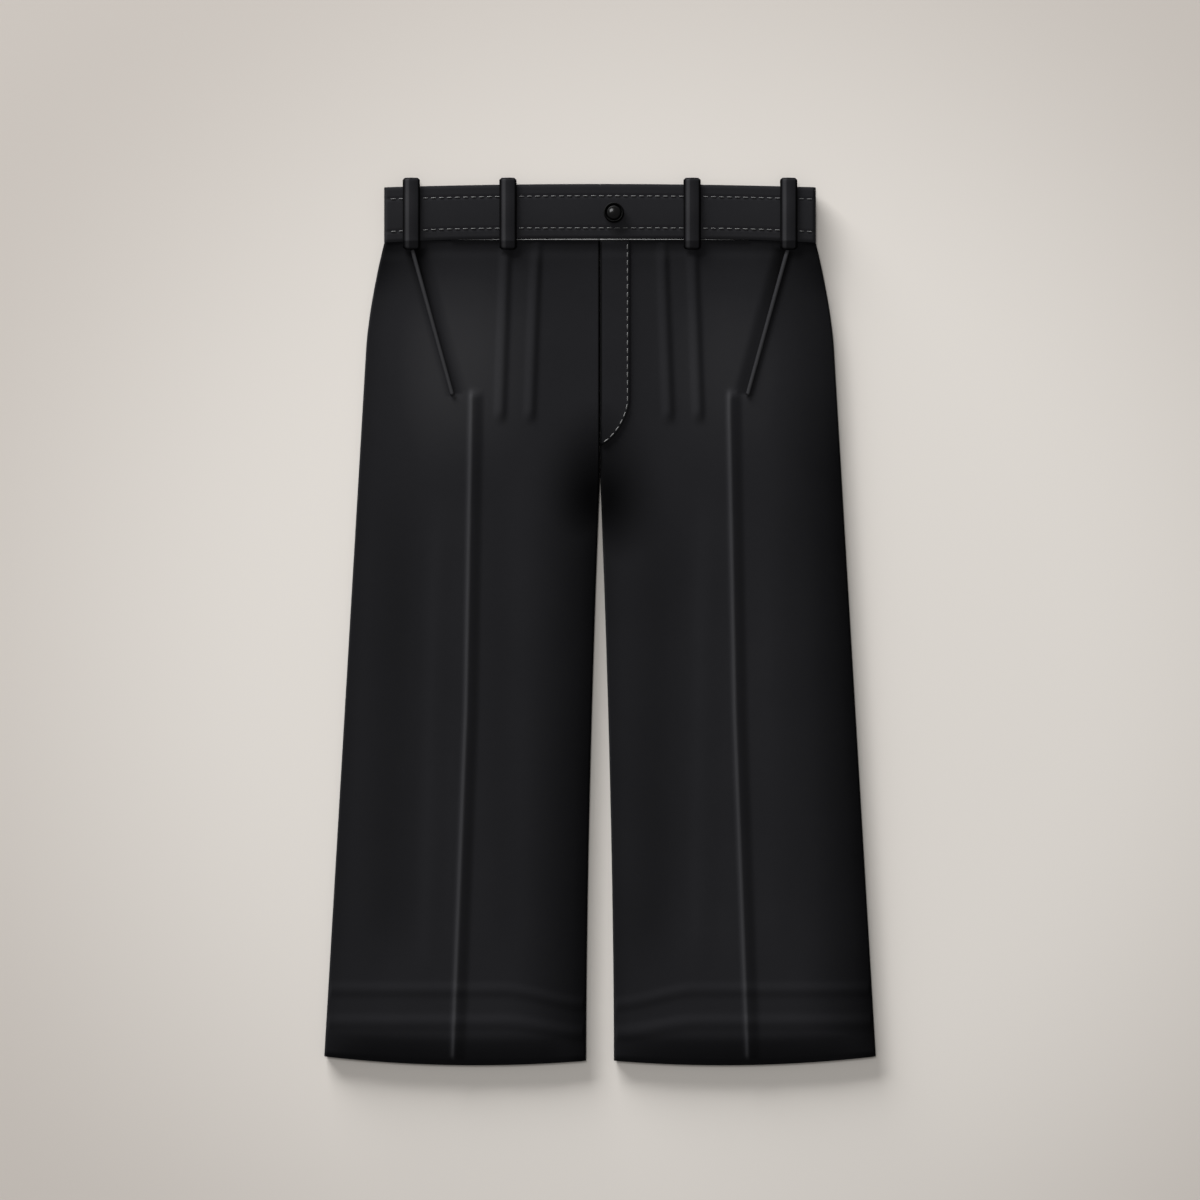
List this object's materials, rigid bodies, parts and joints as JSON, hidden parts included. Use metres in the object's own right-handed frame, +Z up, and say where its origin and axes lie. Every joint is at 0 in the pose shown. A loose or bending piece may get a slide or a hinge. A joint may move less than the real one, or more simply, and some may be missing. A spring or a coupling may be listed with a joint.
{
  "type": "wide-leg trousers",
  "caption": "Plain black cropped wide-leg trousers laid flat on their back, with pleats, pressed creases, slanted pockets, belt loops and a buttoned waistband.",
  "frame": {"origin": "on the surface the trousers lie on, under the middle of their outline", "axes": "+X to the wearer's left, which is the viewer's right; +Y from the hems to the waist; +Z up, out of the front"},
  "size_m": [0.5248, 0.8435, 0.0127],
  "materials": {
    "black_cloth": "smooth black suiting with a fine twill",
    "grey_piping": "grey corded piping",
    "black_button": "glossy black"
  },
  "bodies": {
    "root": {"front_leg_right": "black_cloth", "front_leg_left": "black_cloth", "back_leg_right": "black_cloth", "back_leg_left": "black_cloth", "waistband_front_right": "black_cloth", "waistband_front_left": "black_cloth", "waistband_back": "black_cloth", "waistband_underlap": "black_cloth", "fly_front": "black_cloth", "pocket_welt_right": "black_cloth", "pocket_welt_left": "black_cloth", "belt_loop_front_1": "black_cloth", "belt_loop_front_2": "black_cloth", "belt_loop_front_3": "black_cloth", "belt_loop_front_4": "black_cloth", "belt_loop_back_1": "black_cloth", "belt_loop_back_2": "black_cloth", "belt_loop_back_3": "black_cloth", "waist_piping_right": "grey_piping", "waist_piping_left": "grey_piping", "waist_button": "black_button"}
  },
  "joints": []
}
